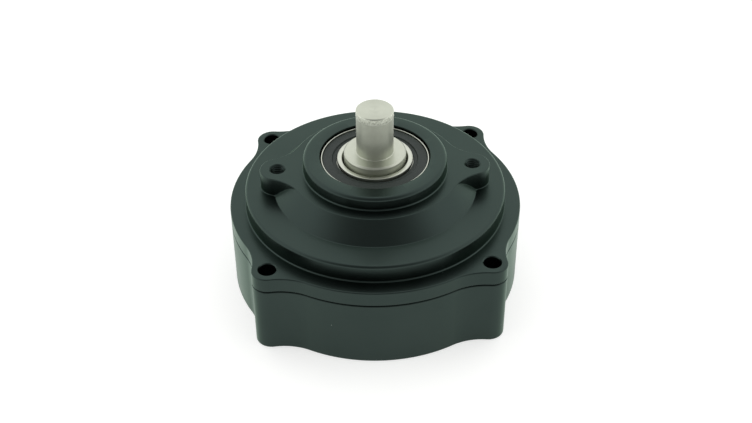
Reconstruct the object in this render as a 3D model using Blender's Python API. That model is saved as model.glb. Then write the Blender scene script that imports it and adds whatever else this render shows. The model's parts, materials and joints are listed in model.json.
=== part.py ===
"""Compact gerotor hydraulic motor with an eared housing, a domed front cover and a plain output shaft.

Every length is in millimetres until a vertex is made, when MM turns it into metres. Z is the shaft's
axis and points out of the front. z = 0 is the rear face, which carries the two ports.
"""

import math

import bmesh
import bpy

MM = 0.001
GAP = 0.3  # left between neighbouring pieces
TURN = 2 * math.pi

# Outline shared by the housing and the front cover
BODY_R = 47.5
EAR_CIRCLE_R = 49.0
EAR_R = 5.0
EAR_BLEND_R = 19.0
EAR_ANGLES = [math.radians(45 + 90 * i) for i in range(4)]
EAR_HOLE_R = 2.75
EDGE = 0.3  # small edge break

# Heights of the housing and the front cover
REAR_FACE_Z = 0.0
FLOOR_Z = 9.0
SEAM_Z = 23.3
FLANGE_Z = 28.5
DISC_Z = 34.5
PLATFORM_Z = 41.0
PILOT_Z = 45.5

# Front cover
DISC_R = 42.25
DISC_ROUND = 1.0
CONE_FOOT_R = 33.0
PLATFORM_R = 27.5
LUG_X = 31.5
LUG_R = 5.65
LUG_BLEND_R = 15.2
LUG_HOLE_R = 2.1
LUG_SINK_R = 2.55
LUG_HOLE_DEPTH = 10.0
PILOT_R = 23.15
PILOT_ROUND = 1.2
LIP_R = 17.8

# Rotor chamber, and the rear bush in its floor
CHAMBER_R = 32.5
SPIGOT_R = CHAMBER_R - GAP
BUSH_R = 9.0
BUSH_POCKET_Z = 2.5

# Ports in the rear face, each with two drilled passages into a kidney gallery
PORT_X = 17.5
PORT_R = 4.4
PORT_MOUTH_R = 5.0
PORT_DEPTH = 6.0
PASSAGE_R = 1.8
PASSAGE_Y = 2.2
GALLERY_Z = 7.0
KIDNEY_MID_R = 17.5
KIDNEY_WIDTH = 5.8
KIDNEY_HALF_ANGLE = math.radians(48)

# Axial stack inside the chamber
PORT_PLATE_Z = (FLOOR_Z + GAP, 11.3)
ROTOR_Z = (11.6, 19.2)
PRESSURE_PLATE_Z = (19.5, 21.5)
PLATE_BORE_R = 8.6
RECESS_DEPTH = 0.8
SPIGOT_Z = 21.8

# Rotor set: seven round lobes outside, six inside
LOBES = 7
LOBE_CIRCLE_R = 23.5
LOBE_R = 6.0
ECCENTRICITY = 2.4
ROOT_R = LOBE_CIRCLE_R - LOBE_R + 2 * ECCENTRICITY + 0.35
ROOT_FILLET_R = 1.5
MESH_CLEARANCE = 0.15
OUTER_ROTOR_R = 27.2
OUTER_ROTOR_CLEARANCE = 0.15
CROWDING = 0.8  # how far the inner rotor's points are crowded into its valleys
ROTOR_START = math.radians(90)  # direction of the lobe that is fully in mesh

# Shaft
SHAFT_R = 6.0
JOURNAL_R = 10.0
JOURNAL_EDGE = 0.5
SEAL_LAND_R = 11.0
SEAL_LAND_Z = 22.2
ROTOR_SEAT_R = 8.0
REAR_JOURNAL_R = 7.0
SHAFT_TOP_Z = 63.0
JOURNAL_TOP_Z = 47.3
KEY_WIDTH = 5.0
KEY_LOW_X = 5.0
KEY_HIGH_X = 10.4
KEYWAY_HIGH_X = 12.0
KEYWAY_INSET = 0.1

# Ball bearing, 20 x 37 x 9
BEARING_Z = (35.7, 44.7)
BEARING_R = 18.5
POCKET_R = BEARING_R + GAP / 2
RACE_R = (12.1, 17.0)  # rims of the inner and the outer ring
RACE_STEP = 1.4  # depth of the seals' seats
RACE_HALF_ANGLE = math.radians(48)
BORE_EDGE = 0.45
BALL_R = 2.2
BALL_CIRCLE_R = 14.3
BALLS = 12
RACE_GAP = 0.2
CAGE_R = (13.5, 15.1)
CAGE_HALF_WIDTH = 2.9
BEARING_SEAL_R = (12.4, 16.4)
BEARING_SEAL_THICKNESS = 0.8

# Retaining ring under the bearing
CIRCLIP_THICKNESS = 1.4
CIRCLIP_R = (17.8, 19.6)
CIRCLIP_GROOVE_R = 19.9
CIRCLIP_EAR_R = 15.2
CIRCLIP_HALF_GAP = math.radians(14)
CIRCLIP_EAR = math.radians(10)
CIRCLIP_HOLE_R = 0.9

# Shaft seal, 22 x 38 x 7
SEAL_Z = (26.2, 33.2)
SEAL_R = 19.0
SEAL_WALL = 1.0
SEAL_CASE_BORE_R = 14.6
LIP_ROOT_R = 12.4
LIP_TIP = (11.25, 29.2)
LIP_END_R = (11.9, 13.0)
LIP_END_Z = 27.7
LIP_FILLET = 0.5
GARTER_R = 13.85
GARTER_Z = 28.9
GARTER_SECTION_R = 0.55

# O-ring in the housing's front face
O_RING_R = 34.3
O_RING_Z = 22.4
O_RING_SECTION_R = 0.7
GROOVE_R = (33.3, 35.3)
GROOVE_Z = 21.4

# Fasteners
SCREW_CIRCLE_R = 38.5
SCREW_ANGLES = [math.radians(30 + 60 * i) for i in range(6)]
SCREW_R = 2.0
SCREW_HEAD_R = 3.5
SCREW_HEAD_Z = (0.5, 4.5)
SCREW_TIP_Z = 31.0
SCREW_HOLE_R = SCREW_R + GAP
SCREW_HOLE_END_Z = 32.5
SOCKET_FLATS = 3.0
SOCKET_DEPTH = 2.0
COUNTERBORE_R = 4.2
COUNTERBORE_DEPTH = 4.8
DOWEL_R = 2.0
DOWEL_Z = (18.8, 27.2)
DOWEL_ANGLES = [0.0, math.pi]
RING_DOWEL_R = 1.5
RING_DOWEL_Y = 28.65
RING_DOWEL_Z = (5.8, 21.4)
RING_DOWEL_SIDES = 16

PAST = 1.0  # how far a cutter runs past the face it opens

FINE = 40  # sides of the large round pieces
MEDIUM = 28
SMALL = 12

FINISHES = {
    "black_anodised": ((0.020, 0.024, 0.024), 0.42, 0.85),
    "turned_steel": ((0.62, 0.61, 0.58), 0.32, 1.0),
    "bearing_steel": ((0.70, 0.70, 0.68), 0.18, 1.0),
    "rotor_steel": ((0.36, 0.36, 0.37), 0.35, 1.0),
    "bronze": ((0.56, 0.36, 0.16), 0.38, 1.0),
    "seal_rubber": ((0.030, 0.031, 0.030), 0.70, 0.0),
    "black_oxide": ((0.030, 0.030, 0.033), 0.45, 0.9),
    "cage_plastic": ((0.62, 0.50, 0.30), 0.50, 0.0),
}


# ---------------------------------------------------------------- shapes


def on_circle(radius, angle, centre=(0.0, 0.0)):
    return (centre[0] + radius * math.cos(angle), centre[1] + radius * math.sin(angle))


def arc(centre, radius, start, end, count):
    """Points along an arc, its start included and its end left out."""
    return [on_circle(radius, start + (end - start) * i / count, centre) for i in range(count)]


def circle(radius, sides, centre=(0.0, 0.0)):
    return arc(centre, radius, 0.0, TURN, sides)


def eared_outline(inset=0.0):
    """Outline of the housing and the cover: a circle whose four round ears blend into it.

    Offsetting it inwards keeps the centres of its arcs and changes only their radii.
    """
    body_r, ear_r, blend_r = BODY_R - inset, EAR_R - inset, EAR_BLEND_R + inset
    return lobed_outline(body_r, EAR_CIRCLE_R, ear_r, blend_r, EAR_ANGLES, (4, 6, 6))


def lobed_outline(body_r, lobe_distance, lobe_r, blend_r, angles, counts):
    """A circle with round lobes at the given angles, joined to it by concave arcs that touch both."""
    blend_sides, lobe_sides, body_sides = counts
    reach = body_r + blend_r
    cosine = (reach**2 + lobe_distance**2 - (lobe_r + blend_r) ** 2) / (2 * reach * lobe_distance)
    swing = math.acos(cosine)
    contact = math.atan2(reach * math.sin(swing), reach * cosine - lobe_distance)
    pitch = TURN / len(angles)
    outline = []
    for angle in angles:
        before = on_circle(reach, angle - swing)
        after = on_circle(reach, angle + swing)
        lobe = on_circle(lobe_distance, angle)
        outline += arc(before, blend_r, angle - swing + math.pi, angle - contact + math.pi, blend_sides)
        outline += arc(lobe, lobe_r, angle - contact, angle + contact, lobe_sides)
        outline += arc(after, blend_r, angle + contact - math.pi, angle + swing - math.pi, blend_sides)
        outline += arc((0.0, 0.0), body_r, angle + swing, angle + pitch - swing, body_sides)
    return outline


def at_height(outline, z):
    return [(x, y, z) for x, y in outline]


def add_loft(bm, rings):
    """Skins rings of equal point counts, from the lowest up, and closes both ends flat."""
    loops = []
    for ring in rings:
        loops.append([bm.verts.new((x * MM, y * MM, z * MM)) for x, y, z in ring])
    count = len(loops[0])
    for low, high in zip(loops, loops[1:]):
        for i in range(count):
            bm.faces.new((low[i - 1], low[i], high[i], high[i - 1]))
    bm.faces.new(reversed(loops[0]))
    bm.faces.new(loops[-1])
    bmesh.ops.remove_doubles(bm, verts=bm.verts, dist=1e-7)


def add_prism(bm, outline, low, high):
    add_loft(bm, [at_height(outline, low), at_height(outline, high)])


def add_turned(bm, profile, sides, centre=(0.0, 0.0)):
    """Turns a profile of (radius, height) points. It closes on itself unless it ends on the axis."""
    x, y = centre[0] * MM, centre[1] * MM
    corners = [bm.verts.new((x + r * MM, y, z * MM)) for r, z in profile]
    pairs = list(zip(corners, corners[1:]))
    if profile[0][0] > 0:
        pairs.append((corners[-1], corners[0]))
    edges = [bm.edges.new(pair) for pair in pairs]
    bmesh.ops.spin(
        bm, geom=corners + edges, cent=(x, y, 0), axis=(0, 0, 1), angle=TURN, steps=sides, use_merge=True
    )
    bmesh.ops.remove_doubles(bm, verts=bm.verts, dist=1e-7)


def rod(radius, low, high, edge=0.0):
    """Profile of a plain round bar with broken edges."""
    if not edge:
        return [(0, high), (radius, high), (radius, low), (0, low)]
    return [
        (0, high),
        (radius - edge, high),
        (radius, high - edge),
        (radius, low + edge),
        (radius - edge, low),
        (0, low),
    ]


def ring(inner_r, outer_r, low, high, edge=EDGE):
    """Profile of a plain ring whose outer edges are broken."""
    return [
        (outer_r - edge, high),
        (outer_r, high - edge),
        (outer_r, low + edge),
        (outer_r - edge, low),
        (inner_r, low),
        (inner_r, high),
    ]


# ---------------------------------------------------------------- objects


def clear_scene():
    for item in list(bpy.data.objects):
        bpy.data.objects.remove(item, do_unlink=True)


def finish_material(name):
    if name in bpy.data.materials:
        return bpy.data.materials[name]
    colour, roughness, metallic = FINISHES[name]
    material = bpy.data.materials.new(name)
    material.use_nodes = True
    shader = material.node_tree.nodes["Principled BSDF"]
    shader.inputs["Base Color"].default_value = (*colour, 1.0)
    shader.inputs["Roughness"].default_value = roughness
    shader.inputs["Metallic"].default_value = metallic
    return material


def mesh_from(name, bm):
    bmesh.ops.recalc_face_normals(bm, faces=bm.faces)
    mesh = bpy.data.meshes.new(name)
    bm.to_mesh(mesh)
    bm.free()
    mesh.shade_smooth()
    mesh.set_sharp_from_angle(angle=math.radians(28))
    return mesh


def add_object(name, mesh, location=(0.0, 0.0, 0.0), parent=None):
    made = bpy.data.objects.new(name, mesh)
    made.location = [value * MM for value in location]
    made.parent = parent
    bpy.context.scene.collection.objects.link(made)
    return made


def add_piece(name, bm, finish, location=(0.0, 0.0, 0.0), parent=None):
    mesh = mesh_from(name, bm)
    mesh.materials.append(finish_material(finish))
    return add_object(name, mesh, location, parent)


def add_helper(name, bm, location=(0.0, 0.0, 0.0)):
    helper = add_object(name, mesh_from(name, bm), location)
    helper.hide_render = True
    helper.display_type = "WIRE"
    return helper


def combine(piece, operation, name, bm, location=(0.0, 0.0, 0.0)):
    """Adds a Boolean modifier to the piece, worked by a hidden helper made from bm."""
    modifier = piece.modifiers.new(name, "BOOLEAN")
    modifier.operation = operation
    modifier.solver = "EXACT"
    modifier.object = add_helper(name, bm, location)


def cut(piece, name, bm, location=(0.0, 0.0, 0.0)):
    combine(piece, "DIFFERENCE", name, bm, location)


# ---------------------------------------------------------------- housing


def kidney_outline(side):
    """Crescent slot with round ends, centred on +X or -X."""
    middle = 0.0 if side > 0 else math.pi
    low, high = middle - KIDNEY_HALF_ANGLE, middle + KIDNEY_HALF_ANGLE
    half = KIDNEY_WIDTH / 2
    far_end = on_circle(KIDNEY_MID_R, high)
    near_end = on_circle(KIDNEY_MID_R, low)
    outline = arc((0.0, 0.0), KIDNEY_MID_R + half, low, high, 8)
    outline += arc(far_end, half, high, high + math.pi, 4)
    outline += arc((0.0, 0.0), KIDNEY_MID_R - half, high, low, 8)
    outline += arc(near_end, half, low + math.pi, low + TURN, 4)
    return outline


def housing_hollow():
    """Rotor chamber, with the pocket of the rear bush in its floor."""
    bm = bmesh.new()
    pocket_r = BUSH_R + GAP
    profile = [
        (0, SEAM_Z + PAST),
        (CHAMBER_R, SEAM_Z + PAST),
        (CHAMBER_R, FLOOR_Z),
        (pocket_r, FLOOR_Z),
        (pocket_r, BUSH_POCKET_Z),
        (0, BUSH_POCKET_Z),
    ]
    add_turned(bm, profile, FINE)
    return bm


def kidney_galleries():
    bm = bmesh.new()
    for side in (1, -1):
        add_prism(bm, kidney_outline(side), GALLERY_Z, FLOOR_Z + PAST / 2)
    return bm


def port_bores():
    """Blind ports with a broken mouth, open to the rear."""
    bm = bmesh.new()
    mouth = PORT_MOUTH_R - PORT_R
    profile = [
        (0, PORT_DEPTH),
        (PORT_R, PORT_DEPTH),
        (PORT_R, mouth),
        (PORT_MOUTH_R + PAST, -PAST),
        (0, -PAST),
    ]
    for side in (1, -1):
        add_turned(bm, profile, MEDIUM, (side * PORT_X, 0.0))
    return bm


def port_passages():
    """Two drilled passages from the end of each port into its gallery."""
    bm = bmesh.new()
    for x in (PORT_X, -PORT_X):
        for y in (PASSAGE_Y, -PASSAGE_Y):
            add_turned(bm, rod(PASSAGE_R, PORT_DEPTH - PAST / 2, GALLERY_Z + PAST / 2), SMALL, (x, y))
    return bm


def fastener_holes(low, high, radius, angles):
    """Plain round holes on the screw circle."""
    bm = bmesh.new()
    for angle in angles:
        add_turned(bm, rod(radius, low, high), SMALL, on_circle(SCREW_CIRCLE_R, angle))
    return bm


def screw_holes():
    """Counterbored clearance holes through the housing's wall, open to the rear."""
    bm = bmesh.new()
    profile = [
        (0, SEAM_Z + PAST),
        (SCREW_HOLE_R, SEAM_Z + PAST),
        (SCREW_HOLE_R, COUNTERBORE_DEPTH),
        (COUNTERBORE_R, COUNTERBORE_DEPTH),
        (COUNTERBORE_R, -PAST),
        (0, -PAST),
    ]
    for angle in SCREW_ANGLES:
        add_turned(bm, profile, SMALL, on_circle(SCREW_CIRCLE_R, angle))
    return bm


def ear_holes(low, high, face_z):
    """Mounting holes through the ears, their edge broken where they meet the outer face at face_z."""
    outwards = 1 if face_z > low + PAST else -1
    rim = (EAR_HOLE_R, face_z - outwards * EDGE)
    beyond = (EAR_HOLE_R + EDGE + PAST, face_z + outwards * PAST)
    far = (EAR_HOLE_R, low if outwards > 0 else high)
    profile = [(0, beyond[1]), beyond, rim, far, (0, far[1])]
    bm = bmesh.new()
    for angle in EAR_ANGLES:
        add_turned(bm, profile, SMALL, on_circle(EAR_CIRCLE_R, angle))
    return bm


def ring_dowel_hole(low, high):
    bm = bmesh.new()
    add_turned(bm, rod(RING_DOWEL_R + GAP, low, high), RING_DOWEL_SIDES, (0.0, RING_DOWEL_Y))
    return bm


def build_housing():
    top = SEAM_Z - GAP / 2
    foot = 0.5
    bm = bmesh.new()
    add_loft(
        bm,
        [
            at_height(eared_outline(foot), REAR_FACE_Z),
            at_height(eared_outline(), REAR_FACE_Z + foot),
            at_height(eared_outline(), top - EDGE),
            at_height(eared_outline(EDGE), top),
        ],
    )
    housing = add_piece("housing", bm, "black_anodised")
    cut(housing, "chamber_cutter", housing_hollow())
    cut(housing, "gallery_cutter", kidney_galleries())
    cut(housing, "port_cutter", port_bores())
    cut(housing, "passage_cutter", port_passages())
    groove = bmesh.new()
    add_turned(groove, ring(*GROOVE_R, GROOVE_Z, SEAM_Z + PAST, 0.0), FINE)
    cut(housing, "o_ring_groove_cutter", groove)
    cut(housing, "screw_hole_cutter", screw_holes())
    cut(housing, "housing_ear_hole_cutter", ear_holes(-PAST, SEAM_Z + PAST, REAR_FACE_Z))
    dowels = fastener_holes(DOWEL_Z[0] - GAP, SEAM_Z + PAST, DOWEL_R + GAP, DOWEL_ANGLES)
    cut(housing, "housing_dowel_cutter", dowels)
    cut(housing, "ring_dowel_cutter", ring_dowel_hole(RING_DOWEL_Z[0] - GAP, FLOOR_Z + PAST))


# ---------------------------------------------------------------- front cover


def crown_rings():
    """Rings of the raised part: round disc, cone with two upright lugs, and the pilot on top."""
    lugs = lobed_outline(PLATFORM_R, LUG_X, LUG_R, LUG_BLEND_R, [0.0, math.pi], (5, 6, 12))
    slope = (PLATFORM_Z - DISC_Z) / (CONE_FOOT_R - PLATFORM_R)
    directions = [math.atan2(y, x) for x, y in lugs]
    reaches = [math.hypot(x, y) for x, y in lugs]

    def round_ring(radius, z):
        return [(*on_circle(radius, angle), z) for angle in directions]

    foot = []
    crease = []
    for angle, reach in zip(directions, reaches):
        foot.append((*on_circle(max(CONE_FOOT_R, reach), angle), DISC_Z))
        crease_z = max(DISC_Z, PLATFORM_Z - slope * (reach - PLATFORM_R))
        crease.append((*on_circle(reach, angle), crease_z))
    def round_edge(radius, z, rounding):
        middle = rounding * (1 - math.sqrt(0.5))
        return [
            round_ring(radius, z - rounding),
            round_ring(radius - middle, z - middle),
            round_ring(radius - rounding, z),
        ]

    return [
        round_ring(DISC_R, FLANGE_Z - 3),
        *round_edge(DISC_R, DISC_Z, DISC_ROUND),
        foot,
        crease,
        at_height(lugs, PLATFORM_Z),
        round_ring(PILOT_R, PLATFORM_Z),
        *round_edge(PILOT_R, PILOT_Z, PILOT_ROUND),
    ]


def cover_bore():
    """Stepped bore from the rear: seal pocket, circlip groove, bearing pocket and the open lip."""
    bm = bmesh.new()
    seal_r = SEAL_R + GAP
    seal_top = SEAL_Z[1] + GAP
    groove_low = BEARING_Z[0] - CIRCLIP_THICKNESS - 2 * GAP
    profile = [
        (0, PILOT_Z + PAST),
        (LIP_R, PILOT_Z + PAST),
        (LIP_R, BEARING_Z[1] + GAP),
        (POCKET_R, BEARING_Z[1] + GAP),
        (POCKET_R, BEARING_Z[0]),
        (CIRCLIP_GROOVE_R, BEARING_Z[0]),
        (CIRCLIP_GROOVE_R, groove_low),
        (POCKET_R, groove_low),
        (POCKET_R, seal_top),
        (seal_r, seal_top),
        (seal_r, SPIGOT_Z - PAST),
        (0, SPIGOT_Z - PAST),
    ]
    add_turned(bm, profile, FINE)
    return bm


def lug_holes():
    """Two blind tapped holes, countersunk at the platform."""
    bm = bmesh.new()
    rise = LUG_SINK_R - LUG_HOLE_R
    profile = [
        (0, PLATFORM_Z + PAST),
        (LUG_SINK_R + PAST, PLATFORM_Z + PAST),
        (LUG_HOLE_R, PLATFORM_Z - rise),
        (LUG_HOLE_R, PLATFORM_Z - LUG_HOLE_DEPTH),
        (0, PLATFORM_Z - LUG_HOLE_DEPTH - LUG_HOLE_R / 2),
    ]
    for side in (1, -1):
        add_turned(bm, profile, SMALL, (side * LUG_X, 0.0))
    return bm


def build_front_cover():
    bottom = SEAM_Z + GAP / 2
    bm = bmesh.new()
    add_loft(
        bm,
        [
            at_height(eared_outline(EDGE), bottom),
            at_height(eared_outline(), bottom + EDGE),
            at_height(eared_outline(), FLANGE_Z - EDGE),
            at_height(eared_outline(EDGE), FLANGE_Z),
        ],
    )
    cover = add_piece("front_cover", bm, "black_anodised")
    crown = bmesh.new()
    add_loft(crown, crown_rings())
    combine(cover, "UNION", "cover_crown", crown)
    spigot = bmesh.new()
    add_turned(spigot, rod(SPIGOT_R, SPIGOT_Z, bottom + PAST), FINE)
    combine(cover, "UNION", "cover_spigot", spigot)
    cut(cover, "cover_bore_cutter", cover_bore())
    cut(cover, "lug_hole_cutter", lug_holes())
    cut(cover, "cover_ear_hole_cutter", ear_holes(SPIGOT_Z, FLANGE_Z + PAST, FLANGE_Z))
    threads = fastener_holes(SPIGOT_Z, SCREW_HOLE_END_Z, SCREW_HOLE_R, SCREW_ANGLES)
    cut(cover, "cover_thread_cutter", threads)
    dowels = fastener_holes(SPIGOT_Z, DOWEL_Z[1] + GAP, DOWEL_R + GAP, DOWEL_ANGLES)
    cut(cover, "cover_dowel_cutter", dowels)


# ---------------------------------------------------------------- rotor set and its plates


def inner_rotor_outline():
    """Six-lobed profile: an epitrochoid offset inwards by the mating lobe's radius and the clearance.

    The points are crowded into the valleys, where the offset spreads them apart.
    """
    count = 16 * (LOBES - 1)
    offset = LOBE_R + MESH_CLEARANCE
    outline = []
    for i in range(count):
        even = TURN * i / count
        t = even - CROWDING * math.sin((LOBES - 1) * even) / (LOBES - 1)
        x = LOBE_CIRCLE_R * math.cos(t) - ECCENTRICITY * math.cos(LOBES * t)
        y = LOBE_CIRCLE_R * math.sin(t) - ECCENTRICITY * math.sin(LOBES * t)
        run_x = -LOBE_CIRCLE_R * math.sin(t) + ECCENTRICITY * LOBES * math.sin(LOBES * t)
        run_y = LOBE_CIRCLE_R * math.cos(t) - ECCENTRICITY * LOBES * math.cos(LOBES * t)
        speed = math.hypot(run_x, run_y)
        outline.append((x - offset * run_y / speed, y + offset * run_x / speed))
    return rotated(outline, ROTOR_START)


def rotated(outline, angle):
    cosine, sine = math.cos(angle), math.sin(angle)
    return [(x * cosine - y * sine, x * sine + y * cosine) for x, y in outline]


def outer_rotor_outline():
    """The outer rotor's opening: a root circle with seven round lobes that reach inwards."""
    fillet_distance = ROOT_R - ROOT_FILLET_R
    cosine = (fillet_distance**2 + LOBE_CIRCLE_R**2 - (LOBE_R + ROOT_FILLET_R) ** 2) / (
        2 * fillet_distance * LOBE_CIRCLE_R
    )
    swing = math.acos(cosine)
    lean = math.atan2(fillet_distance * math.sin(swing), LOBE_CIRCLE_R - fillet_distance * cosine)
    pitch = TURN / LOBES
    outline = []
    for i in range(LOBES):
        angle = ROTOR_START + i * pitch
        lobe = on_circle(LOBE_CIRCLE_R, angle)
        before = on_circle(fillet_distance, angle - swing)
        after = on_circle(fillet_distance, angle + swing)
        outline += arc(before, ROOT_FILLET_R, angle - swing, angle + lean, 2)
        outline += arc(lobe, LOBE_R, angle + math.pi + lean, angle + math.pi - lean, 6)
        outline += arc(after, ROOT_FILLET_R, angle - lean, angle + swing, 2)
        outline += arc((0.0, 0.0), ROOT_R, angle + swing, angle + pitch - swing, 2)
    return outline


def past_rotors():
    """Heights of a cutter that runs right through the rotors."""
    return ROTOR_Z[0] - PAST, ROTOR_Z[1] + PAST


def rectangle(low_x, high_x, half_width):
    return [(low_x, -half_width), (high_x, -half_width), (high_x, half_width), (low_x, half_width)]


def build_rotors(shaft_axis, outer_axis):
    bm = bmesh.new()
    add_prism(bm, inner_rotor_outline(), *ROTOR_Z)
    inner = add_piece("inner_rotor", bm, "rotor_steel", parent=shaft_axis)
    bore = bmesh.new()
    add_turned(bore, rod(ROTOR_SEAT_R + GAP, *past_rotors()), MEDIUM)
    cut(inner, "rotor_bore_cutter", bore)
    keyway = bmesh.new()
    half = KEY_WIDTH / 2
    add_prism(keyway, rectangle(KEY_LOW_X, KEY_HIGH_X + GAP, half), *past_rotors())
    cut(inner, "rotor_keyway_cutter", keyway)

    bm = bmesh.new()
    add_turned(bm, rod(OUTER_ROTOR_R, *ROTOR_Z), FINE)
    outer = add_piece("outer_rotor", bm, "rotor_steel", parent=outer_axis)
    opening = bmesh.new()
    add_prism(opening, outer_rotor_outline(), *past_rotors())
    cut(outer, "outer_rotor_cutter", opening, (0.0, -ECCENTRICITY, 0.0))


def build_eccentric_ring():
    """Locates the outer rotor off the shaft's axis."""
    bm = bmesh.new()
    add_turned(bm, rod(SPIGOT_R, *ROTOR_Z), FINE)
    piece = add_piece("eccentric_ring", bm, "rotor_steel")
    bore = bmesh.new()
    bore_r = OUTER_ROTOR_R + OUTER_ROTOR_CLEARANCE
    add_turned(bore, rod(bore_r, *past_rotors()), FINE, (0.0, -ECCENTRICITY))
    cut(piece, "eccentric_bore_cutter", bore)
    cut(piece, "eccentric_dowel_cutter", ring_dowel_hole(*past_rotors()))


def build_plate(name, low, high, slot_low, slot_high):
    """Bronze side plate of the rotor set, with a kidney slot or recess on each side."""
    bm = bmesh.new()
    add_turned(bm, ring(PLATE_BORE_R, SPIGOT_R, low, high, 0.0), FINE)
    plate = add_piece(name, bm, "bronze")
    slots = bmesh.new()
    for side in (1, -1):
        add_prism(slots, kidney_outline(side), slot_low, slot_high)
    cut(plate, name + "_slot_cutter", slots)
    cut(plate, name + "_dowel_cutter", ring_dowel_hole(low - PAST, high + PAST))


def build_side_plates():
    """The port plate's slots go right through, and the pressure plate has recesses that face the rotors."""
    low, high = PORT_PLATE_Z
    build_plate("port_plate", low, high, low - PAST, high + PAST)
    low, high = PRESSURE_PLATE_Z
    build_plate("pressure_plate", low, high, low - PAST, low + RECESS_DEPTH)


# ---------------------------------------------------------------- shaft


def build_shaft(shaft_axis):
    """Plain output end, journal, seal land, rotor seat with a keyway, and rear journal."""
    rear_end = BUSH_POCKET_Z + 0.5
    bm = bmesh.new()
    add_turned(
        bm,
        [
            (0, SHAFT_TOP_Z),
            (SHAFT_R - EDGE, SHAFT_TOP_Z),
            (SHAFT_R, SHAFT_TOP_Z - EDGE),
            (SHAFT_R, JOURNAL_TOP_Z),
            (JOURNAL_R - JOURNAL_EDGE, JOURNAL_TOP_Z),
            (JOURNAL_R, JOURNAL_TOP_Z - JOURNAL_EDGE),
            (JOURNAL_R, BEARING_Z[0] - GAP),
            (SEAL_LAND_R, BEARING_Z[0] - GAP),
            (SEAL_LAND_R, SEAL_LAND_Z),
            (ROTOR_SEAT_R, SEAL_LAND_Z),
            (ROTOR_SEAT_R, PORT_PLATE_Z[1]),
            (REAR_JOURNAL_R, PORT_PLATE_Z[1]),
            (REAR_JOURNAL_R, rear_end + EDGE),
            (REAR_JOURNAL_R - EDGE, rear_end),
            (0, rear_end),
        ],
        MEDIUM,
    )
    shaft = add_piece("drive_shaft", bm, "turned_steel", parent=shaft_axis)
    slot = bmesh.new()
    corners = rectangle(KEY_LOW_X, KEYWAY_HIGH_X, KEY_WIDTH / 2)
    add_prism(slot, corners, ROTOR_Z[0] + KEYWAY_INSET, ROTOR_Z[1] - KEYWAY_INSET)
    cut(shaft, "shaft_keyway_cutter", slot)


def build_key(shaft_axis):
    bm = bmesh.new()
    inset = KEYWAY_INSET + GAP
    corners = rectangle(KEY_LOW_X + GAP, KEY_HIGH_X, KEY_WIDTH / 2 - GAP)
    add_prism(bm, corners, ROTOR_Z[0] + inset, ROTOR_Z[1] - inset)
    add_piece("rotor_key", bm, "rotor_steel", parent=shaft_axis)


def build_rear_bush():
    bm = bmesh.new()
    add_turned(bm, ring(REAR_JOURNAL_R + GAP, BUSH_R, BUSH_POCKET_Z + GAP, FLOOR_Z - GAP, 0.0), MEDIUM)
    add_piece("rear_bush", bm, "bronze")


# ---------------------------------------------------------------- bearing and seals


def race_profile(side):
    """Ball groove of a ring with its two lands, from the top down; side is 1 for the outer ring."""
    low, high = BEARING_Z
    middle = (low + high) / 2
    groove_r = BALL_R + RACE_GAP
    groove = []
    for i in range(4):
        angle = RACE_HALF_ANGLE * (1 - 2 * i / 3)
        radius = BALL_CIRCLE_R + side * groove_r * math.cos(angle)
        groove.append((radius, middle + groove_r * math.sin(angle)))
    land_r = groove[0][0]
    return [(land_r, high - RACE_STEP), *groove, (land_r, low + RACE_STEP)]


def build_bearing_rings(shaft_axis):
    low, high = BEARING_Z
    inner_rim, outer_rim = RACE_R
    outside = ring(outer_rim, BEARING_R - GAP / 2, low, high)
    groove = reversed(race_profile(1))
    outside[-1:-1] = [(outer_rim, low + RACE_STEP), *groove, (outer_rim, high - RACE_STEP)]
    bm = bmesh.new()
    add_turned(bm, outside, MEDIUM)
    add_piece("bearing_outer_ring", bm, "bearing_steel")

    bore = JOURNAL_R + GAP
    profile = [
        (bore + BORE_EDGE, high),
        (inner_rim, high),
        (inner_rim, high - RACE_STEP),
        *race_profile(-1),
        (inner_rim, low + RACE_STEP),
        (inner_rim, low),
        (bore + BORE_EDGE, low),
        (bore, low + BORE_EDGE),
        (bore, high - BORE_EDGE),
    ]
    bm = bmesh.new()
    add_turned(bm, profile, MEDIUM)
    add_piece("bearing_inner_ring", bm, "bearing_steel", parent=shaft_axis)


def build_bearing_seals():
    low, high = BEARING_Z
    front = high - GAP - BEARING_SEAL_THICKNESS
    for name, bottom in (("bearing_front_seal", front), ("bearing_rear_seal", low + GAP)):
        bm = bmesh.new()
        add_turned(bm, ring(*BEARING_SEAL_R, bottom, bottom + BEARING_SEAL_THICKNESS, 0.0), MEDIUM)
        add_piece(name, bm, "seal_rubber")


def build_cage_and_balls(cage_axis):
    middle = sum(BEARING_Z) / 2
    bm = bmesh.new()
    add_turned(bm, ring(*CAGE_R, middle - CAGE_HALF_WIDTH, middle + CAGE_HALF_WIDTH, 0.0), MEDIUM)
    cage = add_piece("bearing_cage", bm, "cage_plastic", parent=cage_axis)
    pockets = bmesh.new()
    for i in range(BALLS):
        add_pocket(pockets, TURN * i / BALLS, middle)
    cut(cage, "cage_pocket_cutter", pockets)

    bm = bmesh.new()
    bmesh.ops.create_uvsphere(bm, u_segments=8, v_segments=6, radius=BALL_R * MM)
    ball = mesh_from("bearing_ball", bm)
    ball.materials.append(finish_material("bearing_steel"))
    for i in range(BALLS):
        x, y = on_circle(BALL_CIRCLE_R, TURN * i / BALLS)
        add_object(f"bearing_ball_{i + 1:02d}", ball, (x, y, middle), cage_axis)


def add_pocket(bm, angle, z):
    """A round pocket bored through the cage along a radius."""
    radius = BALL_R + GAP
    rings = []
    for reach in (CAGE_R[0] - PAST, CAGE_R[1] + PAST):
        ring_points = []
        for across, up in circle(radius, 8):
            x = reach * math.cos(angle) - across * math.sin(angle)
            y = reach * math.sin(angle) + across * math.cos(angle)
            ring_points.append((x, y, z + up))
        rings.append(ring_points)
    add_loft(bm, rings)


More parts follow.
